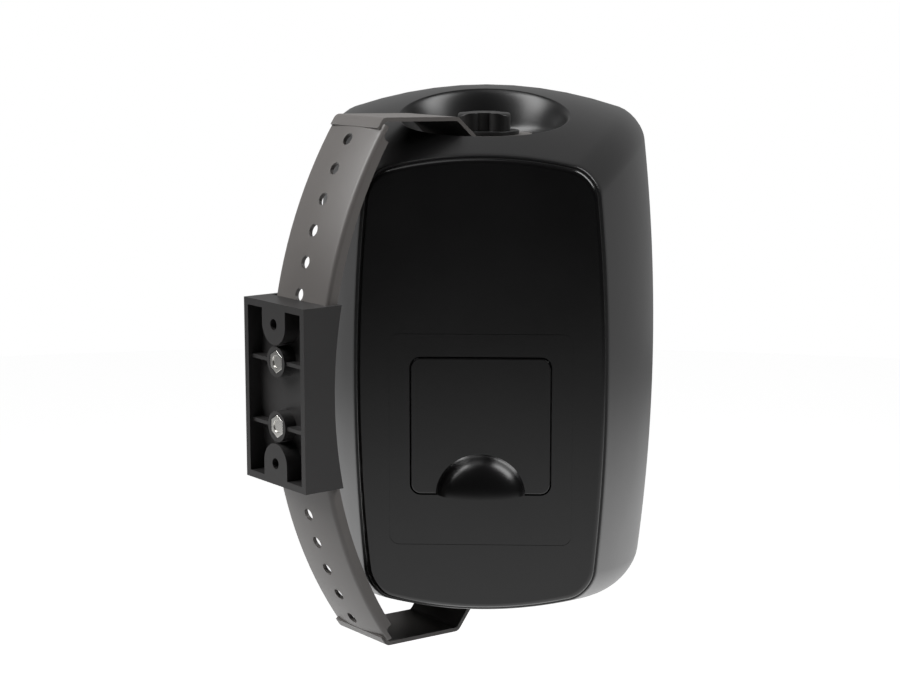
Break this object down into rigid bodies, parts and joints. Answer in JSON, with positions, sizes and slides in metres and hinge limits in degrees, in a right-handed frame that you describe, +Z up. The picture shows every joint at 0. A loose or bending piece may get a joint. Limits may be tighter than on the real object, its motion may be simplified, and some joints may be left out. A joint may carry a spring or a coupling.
{
  "type": "wall speaker",
  "caption": "Two-way wall speaker with a moulded cabinet that turns between hand knobs on a curved perforated strap and a wall mount.",
  "frame": {"origin": "centre of the two wall screw holes, in the plane of the wall mount's open rim, which lies on the wall", "axes": "+Z up, +Y into the wall, -Y into the room"},
  "size_m": [0.2095, 0.2499, 0.2824],
  "materials": {
    "mount_plastic": "moulded, satin",
    "strap_paint": "satin grey-black powder coat",
    "zinc_steel": "zinc plated",
    "cabinet_plastic": "fine satin texture",
    "gasket_foam": "matt",
    "grille_paint": "satin black powder coat",
    "black_steel": "black oxide",
    "insert_brass": "turned",
    "washer_rubber": "matt",
    "knob_plastic": "satin",
    "cover_plastic": "fine satin texture",
    "terminal_plastic": "moulded",
    "red_plastic": "moulded",
    "black_plastic": "moulded",
    "board_laminate": "solder mask",
    "copper_wire": "enamelled wire",
    "capacitor_film": "film",
    "resistor_ceramic": "ceramic",
    "basket_paint": "black paint",
    "ferrite": "ground ferrite",
    "cone_paper": "pressed paper",
    "cap_paper": "pressed paper",
    "surround_rubber": "matt",
    "spider_cloth": "resin-treated cloth",
    "faceplate_plastic": "moulded",
    "dome_silk": "coated silk"
  },
  "bodies": {
    "wall_bracket": {"wall_mount": "mount_plastic", "strap": "strap_paint", "strap_screws": "zinc_steel", "strap_nuts": "zinc_steel"},
    "cabinet": {"rear_shell": "cabinet_plastic", "front_baffle": "cabinet_plastic", "shell_gasket": "gasket_foam", "grille": "grille_paint", "cabinet_screws": "black_steel", "upper_insert": "insert_brass", "lower_insert": "insert_brass", "upper_rubber_washer": "washer_rubber", "lower_rubber_washer": "washer_rubber", "upper_steel_washer": "black_steel", "lower_steel_washer": "black_steel", "terminal_cup": "terminal_plastic", "terminal_gasket": "gasket_foam", "terminal_screws": "zinc_steel", "crossover_board": "board_laminate", "crossover_coil": "copper_wire", "crossover_capacitors": "capacitor_film", "crossover_resistor": "resistor_ceramic", "crossover_screws": "zinc_steel", "woofer_basket": "basket_paint", "woofer_magnet": "ferrite", "woofer_top_plate": "zinc_steel", "woofer_yoke": "zinc_steel", "woofer_gasket": "gasket_foam", "woofer_screws": "black_steel", "woofer_surround": "surround_rubber", "woofer_spider": "spider_cloth", "tweeter_faceplate": "faceplate_plastic", "tweeter_dome": "dome_silk", "tweeter_magnet": "ferrite", "tweeter_screws": "black_steel", "reflex_port": "faceplate_plastic"},
    "upper_clamp": {"upper_knob": "knob_plastic", "upper_knob_stud": "zinc_steel"},
    "lower_clamp": {"lower_knob": "knob_plastic", "lower_knob_stud": "zinc_steel"},
    "cover": {"terminal_cover": "cover_plastic"},
    "red_lever": {"terminal_lever_red": "red_plastic"},
    "black_lever": {"terminal_lever_black": "black_plastic"},
    "cone": {"woofer_cone": "cone_paper", "woofer_dust_cap": "cap_paper", "woofer_voice_coil": "copper_wire"}
  },
  "joints": [
    {"name": "cabinet_swivel", "type": "hinge", "parent": "wall_bracket", "child": "cabinet", "pos_m": [0, -0.1305, 0.001], "axis": [0, 0, 1], "range_deg": [-104.8, 5.2]},
    {"name": "upper_knob_turn", "type": "hinge", "parent": "cabinet", "child": "upper_clamp", "pos_m": [0, -0.1305, 0.126], "axis": [0, 0, 1], "continuous": true},
    {"name": "lower_knob_turn", "type": "hinge", "parent": "cabinet", "child": "lower_clamp", "pos_m": [0, -0.1305, -0.124], "axis": [0, 0, 1], "continuous": true},
    {"name": "cover_hinge", "type": "hinge", "parent": "cabinet", "child": "cover", "pos_m": [-0.05163, -0.08687, 0.0113], "axis": [0.6455, 0.7638, 0], "range_deg": [0, 92]},
    {"name": "red_lever_press", "type": "hinge", "parent": "cabinet", "child": "red_lever", "pos_m": [-0.02958, -0.09176, -0.011], "axis": [-0.6455, -0.7638, 0], "range_deg": [0, 12], "stiffness_Nm_per_rad": 0.3},
    {"name": "black_lever_press", "type": "hinge", "parent": "cabinet", "child": "black_lever", "pos_m": [-0.04313, -0.1078, -0.011], "axis": [-0.6455, -0.7638, 0], "range_deg": [0, 12], "stiffness_Nm_per_rad": 0.3},
    {"name": "cone_travel", "type": "slide", "parent": "cabinet", "child": "cone", "axis": [0.7638, -0.6455, 0], "range_m": [-0.003, 0.003], "stiffness_N_per_m": 1500, "deforming": ["woofer_surround", "woofer_spider"]}
  ]
}
